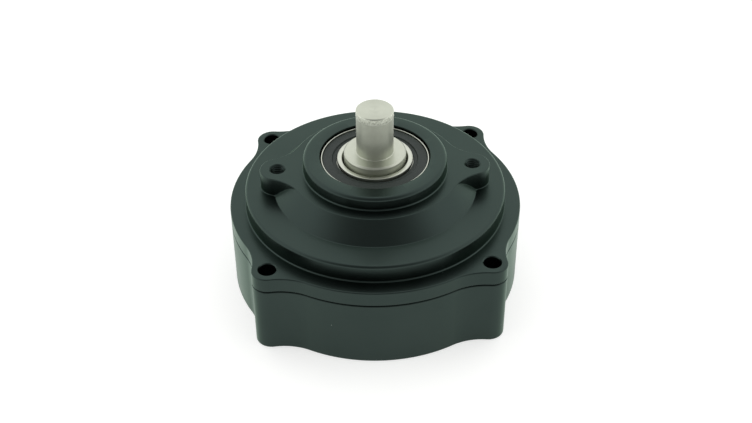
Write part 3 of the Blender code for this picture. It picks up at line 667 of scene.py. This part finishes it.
def shell_angles():
    centres = [*EAR_ANGLES, 0.0, math.pi]
    return crowded_angles(centres, math.radians(20), math.radians(0.3), math.radians(0.7))


def build_cover(material):
    """Front cover: eared flange, raised disc, cone with two lugs, and the pilot round the bearing."""
    angles = shell_angles()
    ears = eared_radius(angles)
    lugs = lug_radius(angles)
    slope = (PLATFORM_Z - DISC_Z) / (CONE_FOOT_R - PLATFORM_R)
    cone_at_lug = np.maximum(DISC_Z, PLATFORM_Z - slope * (lugs - PLATFORM_R))
    wall = PLATFORM_Z - cone_at_lug
    crease_r = lugs + np.maximum(0.0, LUG_FOOT - wall)
    crease_z = np.maximum(DISC_Z, PLATFORM_Z - slope * (crease_r - PLATFORM_R))
    foot_r = np.maximum(CONE_FOOT_R, lugs + LUG_FOOT)
    pocket_r = BEARING_OUT_R + GAP
    seal_r = SEAL_R + GAP
    seal_stop = SEAL_TOP + GAP
    corners = [
        (LIP_R, PILOT_Z, 0.15),
        (PILOT_R, PILOT_Z, PILOT_ROUND),
        (PILOT_R, PLATFORM_Z, FOOT_FILLET),
        (lugs, PLATFORM_Z, PLATFORM_ROUND),
        (crease_r, crease_z, 0.3),
        (foot_r, DISC_Z, CONE_FILLET),
        (DISC_R, DISC_Z, DISC_ROUND),
        (DISC_R, FLANGE_Z, FOOT_FILLET),
        (ears, FLANGE_Z, FLANGE_ROUND),
        (ears, COVER_LOW + SEAM_CHAMFER, 0.12),
        (eared_radius(angles, SEAM_CHAMFER), COVER_LOW, 0.12),
        (PLATE_R, COVER_LOW, 0),
        (PLATE_R, SPIGOT_LOW, 0.2),
        (seal_r, SPIGOT_LOW, 0.3),
        (seal_r, seal_stop, 0),
        (pocket_r, seal_stop, 0),
        (pocket_r, seal_stop + 0.2, 0),
        (CIRCLIP_GROOVE_R, seal_stop + 0.2, 0),
        (CIRCLIP_GROOVE_R, BEARING_LOW, 0),
        (pocket_r, BEARING_LOW, 0),
        (pocket_r, BEARING_TOP + GAP, 0),
        (LIP_R, BEARING_TOP + GAP, 0),
    ]
    cover = turned("cover_shell", corners, material, angles=angles)
    mouth = {"radius": LUG_MOUTH_R, "z": PLATFORM_Z, "beyond": lambda z: z > PLATFORM_Z}
    holes = ear_drills(SPIGOT_LOW, FLANGE_Z + 2, FLANGE_Z, 1)
    for side in (1, -1):
        centre = (side * LUG_X, 0.0)
        bottom = PLATFORM_Z - LUG_HOLE_DEPTH
        top = PLATFORM_Z + 1
        holes.append(thread_cutter(LUG_HOLE_R, *LUG_THREAD, bottom, top, mouth, centre))
    for angle in SCREW_ANGLES:
        holes.append(blind_hole(SCREW_HOLE_R, COVER_SCREW_HOLE_TOP, on_screw_circle(angle)))
    for angle in DOWEL_ANGLES:
        holes.append(blind_hole(SCREW_HOLE_R, COVER_DOWEL_HOLE_TOP, on_screw_circle(angle)))
    cut(cover, joined("cover_holes", holes))
    return placed(cover, "body", "front_cover")


def on_screw_circle(angle):
    return (SCREW_CIRCLE_R * math.cos(angle), SCREW_CIRCLE_R * math.sin(angle))


def kidney_outline(side):
    """Crescent slot with round ends, centred on +X or -X."""
    middle = 0.0 if side > 0 else math.pi
    low, high = middle - KIDNEY_HALF_ANGLE, middle + KIDNEY_HALF_ANGLE
    half = KIDNEY_WIDTH / 2
    points = []

    def add_arc(centre, radius, start, end, count):
        for t in np.linspace(start, end, count, endpoint=False):
            points.append((centre[0] + radius * math.cos(t), centre[1] + radius * math.sin(t)))

    far_end = (KIDNEY_MID_R * math.cos(high), KIDNEY_MID_R * math.sin(high))
    near_end = (KIDNEY_MID_R * math.cos(low), KIDNEY_MID_R * math.sin(low))
    add_arc((0, 0), KIDNEY_MID_R + half, low, high, 32)
    add_arc(far_end, half, high, high + math.pi, 16)
    add_arc((0, 0), KIDNEY_MID_R - half, high, low, 32)
    add_arc(near_end, half, low + math.pi, low + TURN, 16)
    return np.array(points)


def prism(name, outline, low, high, material=None):
    """A flat-ended bar of any outline: a point ring shrunk onto its middle closes each end."""
    middle = np.mean(outline, axis=0)
    spot = np.tile(middle, (len(outline), 1))
    levels = [(spot, high), (outline, high), (outline, low), (spot, low)]
    loops = [np.column_stack([ring, np.full(len(ring), z)]) for ring, z in levels]
    return skin(name, loops, material)


def build_housing(material):
    """Housing: an eared cup with two threaded blind ports and six counterbored screw holes behind."""
    angles = shell_angles()
    ears = eared_radius(angles)
    corners = [
        (0, BUSH_POCKET_Z, 0),
        (BUSH_POCKET_R, BUSH_POCKET_Z, 0.3),
        (BUSH_POCKET_R, FLOOR_Z, 0.2),
        (CHAMBER_R, FLOOR_Z, 0.3),
        (CHAMBER_R, HOUSING_TOP, 0.2),
        (GROOVE_R[0], HOUSING_TOP, 0.1),
        (GROOVE_R[0], GROOVE_Z, 0.2),
        (GROOVE_R[1], GROOVE_Z, 0.2),
        (GROOVE_R[1], HOUSING_TOP, 0.1),
        (eared_radius(angles, SEAM_CHAMFER), HOUSING_TOP, 0.12),
        (ears, HOUSING_TOP - SEAM_CHAMFER, 0.12),
        (ears, HOUSING_LOW, 0.5),
        (0, HOUSING_LOW, 0),
    ]
    housing = turned("housing_shell", corners, material, closed=False, angles=angles)
    mouth = {"radius": PORT_MOUTH_R, "z": HOUSING_LOW, "beyond": lambda z: z < HOUSING_LOW}
    holes = ear_drills(-2.0, HOUSING_TOP + 1, HOUSING_LOW, -1)
    for side in (1, -1):
        centre = (side * PORT_X, 0.0)
        holes.append(thread_cutter(PORT_R, *PORT_THREAD, -1.0, PORT_DEPTH, mouth, centre, 64, 8))
    for angle in SCREW_ANGLES:
        profile = [
            (0, HOUSING_TOP + 1),
            (SCREW_HOLE_R, HOUSING_TOP + 1),
            (SCREW_HOLE_R, COUNTERBORE_DEPTH),
            (COUNTERBORE_R, COUNTERBORE_DEPTH),
            (COUNTERBORE_R, 0.3),
            (COUNTERBORE_R + 0.3, 0.0),
            (COUNTERBORE_R + 0.6, -1),
            (0, -1),
        ]
        holes.append(drill(profile, on_screw_circle(angle), 96))
    for angle in DOWEL_ANGLES:
        centre = on_screw_circle(angle)
        holes.append(plain_hole(SCREW_HOLE_R, HOUSING_DOWEL_HOLE_LOW, HOUSING_TOP + 1, centre))
    pin = (0.0, RING_DOWEL_Y)
    holes.append(plain_hole(RING_DOWEL_HOLE_R, RING_DOWEL_HOLE_LOW, FLOOR_Z + 1, pin))
    kidneys = [prism("kidney", kidney_outline(side), GALLERY_Z, FLOOR_Z + 0.6) for side in (1, -1)]
    passages = []
    for x in (PORT_X, -PORT_X):
        for y in (PASSAGE_Y, -PASSAGE_Y):
            passages.append(plain_hole(PASSAGE_R, PORT_DEPTH - 0.4, GALLERY_Z + 0.4, (x, y)))
    cutters = [joined("housing_holes", holes), joined("kidneys", kidneys), joined("passages", passages)]
    cut(housing, *cutters)
    return placed(housing, "body", "housing")


# ---------------------------------------------------------------- shaft


def build_shaft(material):
    """Drive shaft: plain end, journal, seal land, rotor seat with its keyway, rear journal."""
    shoulder = BEARING_LOW - GAP
    corners = [
        (0, SHAFT_TOP - 0.05, 0),
        (0.35, SHAFT_TOP - 0.03, 0.1),
        (0.5, SHAFT_TOP, 0.05),
        (SHAFT_R - 0.35, SHAFT_TOP, 0.06),
        (SHAFT_R, SHAFT_TOP - 0.35, 0.1),
        (SHAFT_R, SHAFT_TOP - BAND_HEIGHT, 0.03),
        (SHAFT_R - BAND_STEP, SHAFT_TOP - BAND_HEIGHT - BAND_STEP, 0.03),
        (SHAFT_R - BAND_STEP, JOURNAL_TOP, 0.25),
        (JOURNAL_R - JOURNAL_EDGE, JOURNAL_TOP, 0.06),
        (JOURNAL_R, JOURNAL_TOP - JOURNAL_EDGE, 0.1),
        (JOURNAL_R, shoulder, 0.2),
        (SEAL_LAND_R, shoulder, 0.2),
        (SEAL_LAND_R, SEAL_LAND_Z, 0.3),
        (ROTOR_SEAT_R, SEAL_LAND_Z, 0.4),
        (ROTOR_SEAT_R, PORT_PLATE_TOP, 0.2),
        (REAR_JOURNAL_R, PORT_PLATE_TOP, 0.3),
        (REAR_JOURNAL_R, SHAFT_LOW, 0.4),
        (0, SHAFT_LOW, 0),
    ]
    shaft = turned("output_shaft", corners, material, 256, closed=False)
    near, far = KEYWAY_X
    half = KEYWAY_HALF_WIDTH
    slot = np.array([(near, -half), (far, -half), (far, half), (near, half)])
    cut(shaft, prism("keyway", slot, ROTOR_LOW + 0.1, ROTOR_TOP - 0.1))
    return placed(shaft, "shaft", "drive_shaft")


# ---------------------------------------------------------------- bearing


def build_bearing(steel, rubber):
    """Outer and inner ring, and the two rubber seals between them."""
    low, high = BEARING_LOW, BEARING_TOP
    inner_rim, outer_rim = RACE_R
    outer = [
        (outer_rim, high, 0.1),
        (outer_rim + 0.3, high, 0.08),
        (BEARING_OUT_R, high - 1.3, 0.2),
        (BEARING_OUT_R, low, 0.35),
        (outer_rim, low, 0.15),
        (outer_rim, low + RACE_STEP, 0.1),
        *race_corners(1),
        (outer_rim, high - RACE_STEP, 0.1),
    ]
    placed(turned("outer_race", outer, steel, 256), "body", "bearing_outer_ring")
    bore = JOURNAL_R + GAP
    inner = [
        (bore, high - 0.9, 0.2),
        (bore + 0.42, high, 0.05),
        (inner_rim - 0.28, high, 0.05),
        (inner_rim - 0.24, high - 0.05, 0.03),
        (inner_rim - 0.2, high, 0.03),
        (inner_rim, high, 0.1),
        (inner_rim, high - RACE_STEP, 0.1),
        *race_corners(-1)[::-1],
        (inner_rim, low + RACE_STEP, 0.1),
        (inner_rim, low, 0.2),
        (bore, low, 0.45),
    ]
    placed(turned("inner_race", inner, steel, 256), "shaft", "bearing_inner_ring")
    build_bearing_seal("front_lip_seal", "bearing_front_seal", rubber, high - GAP, -1)
    build_bearing_seal("rear_lip_seal", "bearing_rear_seal", rubber, low + GAP, 1)


def race_corners(side):
    """Land, ball groove and land of a ring, from its lower end up; +1 is the outer ring."""
    middle = (BEARING_LOW + BEARING_TOP) / 2
    corners = []
    for angle in np.radians(np.linspace(-48, 48, 13)):
        radius = BALL_CIRCLE_R + side * BALL_GROOVE_R * math.cos(angle)
        corners.append((radius, middle + BALL_GROOVE_R * math.sin(angle), 0))
    land = corners[0][0]
    return [(land, BEARING_LOW + RACE_STEP, 0.1), *corners, (land, BEARING_TOP - RACE_STEP, 0.1)]


def build_bearing_seal(name, node, material, face, inwards):
    """A ring of rubber: flat face, a fine raised line at its inner side, and a recessed thin lip."""
    def level(depth):
        return face + inwards * depth

    lip_r, rim_r = BEARING_SEAL_BORE_R, RACE_R[1] - SEAL_FIT
    corners = [
        (lip_r, level(0.62), 0.06),
        (13.6, level(0.5), 0.08),
        (13.78, level(0.02), 0.05),
        (13.92, level(0.02), 0.04),
        (13.98, level(0.1), 0.04),
        (rim_r - 0.2, level(0.1), 0.08),
        (rim_r, level(0.25), 0.06),
        (rim_r, level(BEARING_SEAL_THICKNESS), 0.08),
        (lip_r, level(BEARING_SEAL_THICKNESS), 0.04),
    ]
    if inwards > 0:
        corners = corners[::-1]
    placed(turned(name, corners, material, 256), "body", node)


# ---------------------------------------------------------------- fasteners


def hexagon(across_flats):
    """Outline of a hexagon socket."""
    corner_r = across_flats / math.sqrt(3)
    return np.array([(corner_r * math.cos(t), corner_r * math.sin(t)) for t in even_angles(6)])


def build_screws(material):
    """Socket-head cap screws, heads to the rear."""
    for i, angle in enumerate(SCREW_ANGLES):
        low, high = span(f"cover_screw_{i + 1}")
        centre = on_screw_circle(angle)
        corners = [
            (0, high, 0),
            (SCREW_R, high, 0.4),
            (SCREW_R, low + SCREW_HEAD_HEIGHT, 0.2),
            (SCREW_HEAD_R, low + SCREW_HEAD_HEIGHT, 0.1),
            (SCREW_HEAD_R, low, 0.35),
            (0, low, 0),
        ]
        screw = turned(f"cap_screw_{i + 1}", corners, material, 96, False, None, centre)
        socket = prism("socket", hexagon(SOCKET_FLATS) + np.array(centre), low - 1, low + SOCKET_DEPTH)
        cut(screw, socket)
        placed(screw, "body", f"cover_screw_{i + 1}")


# ---------------------------------------------------------------- studio


def build_stage():
    """A wide pale floor under the object."""
    corners = [(-FLOOR_REACH, -FLOOR_REACH), (FLOOR_REACH, -FLOOR_REACH)]
    corners += [(FLOOR_REACH, FLOOR_REACH), (-FLOOR_REACH, FLOOR_REACH)]
    floor = prism("floor", np.array(corners), *FLOOR_HEIGHTS)
    material, nodes, links, shader = new_material("pale_floor")
    paper = noise(nodes, links, object_position(nodes), 40.0, 3.0)
    pale = mixed_colour(nodes, links, paper, (0.54, 0.55, 0.53), (0.57, 0.58, 0.56))
    links.new(pale, shader.inputs["Base Color"])
    shader.inputs["Roughness"].default_value = 0.8
    shader.inputs["Emission Color"].default_value = (1.0, 1.0, 1.0, 1.0)
    shader.inputs["Emission Strength"].default_value = 0.62
    floor.data.materials.append(material)

    bpy.context.scene.view_settings.view_transform = "Standard"


def build_world():
    """A white light tent, with a dark opening in front of the object."""
    world = bpy.data.worlds.new("light_tent")
    world.use_nodes = True
    nodes, links = world.node_tree.nodes, world.node_tree.links
    direction = nodes.new("ShaderNodeTexCoord").outputs["Generated"]
    facing = nodes.new("ShaderNodeVectorMath")
    facing.operation = "DOT_PRODUCT"
    facing.inputs[1].default_value = TENT_OPENING
    links.new(direction, facing.inputs[0])
    glow = mapped(nodes, links, facing.outputs["Value"], OPENING_EDGE, 1.0, TENT_LIGHT, OPENING_LIGHT)
    glow.node.interpolation_type = "SMOOTHSTEP"
    links.new(glow, nodes["Background"].inputs["Strength"])
    nodes["Background"].inputs["Color"].default_value = (1.0, 1.0, 1.0, 1.0)
    bpy.context.scene.world = world


def build_camera():
    data = bpy.data.cameras.new("camera")
    data.lens = CAMERA_LENS
    data.sensor_width = 36.0
    data.clip_start, data.clip_end = 0.01, 20.0
    camera = bpy.data.objects.new("camera", data)
    back = Vector(
        (
            math.sin(CAMERA_AZIMUTH) * math.cos(CAMERA_ELEVATION),
            -math.cos(CAMERA_AZIMUTH) * math.cos(CAMERA_ELEVATION),
            math.sin(CAMERA_ELEVATION),
        )
    )
    facing = (-back).to_track_quat("-Z", "Y").to_matrix().to_4x4()
    place = Matrix.Translation(CAMERA_TARGET + back * CAMERA_DISTANCE)
    camera.matrix_world = place @ facing @ Matrix.Rotation(CAMERA_ROLL, 4, "Z")
    bpy.context.scene.collection.objects.link(camera)
    bpy.context.scene.camera = camera


def main():
    build_camera()
    build_stage()
    build_world()
    anodised = black_anodised()
    steel = turned_steel()
    polished = bearing_steel()
    rubber = seal_rubber()
    oxide = black_oxide()
    rotor = rotor_steel()
    bearing_bronze = bronze()
    nylon = cage_plastic()
    build_housing(anodised)
    build_cover(anodised)
    build_shaft(steel)
    build_bearing(polished, rubber)
    build_screws(oxide)
    finishes = {
        "black_anodised": anodised,
        "turned_steel": steel,
        "bearing_steel": polished,
        "seal_rubber": rubber,
        "black_oxide": oxide,
        "rotor_steel": rotor,
        "bronze": bearing_bronze,
        "cage_plastic": nylon,
    }
    for part in frame["record"]["subparts"]:
        node = frame["nodes"][part["node"]]
        node.data.materials.clear()
        node.data.materials.append(finishes[part["material_slot"]])


main()
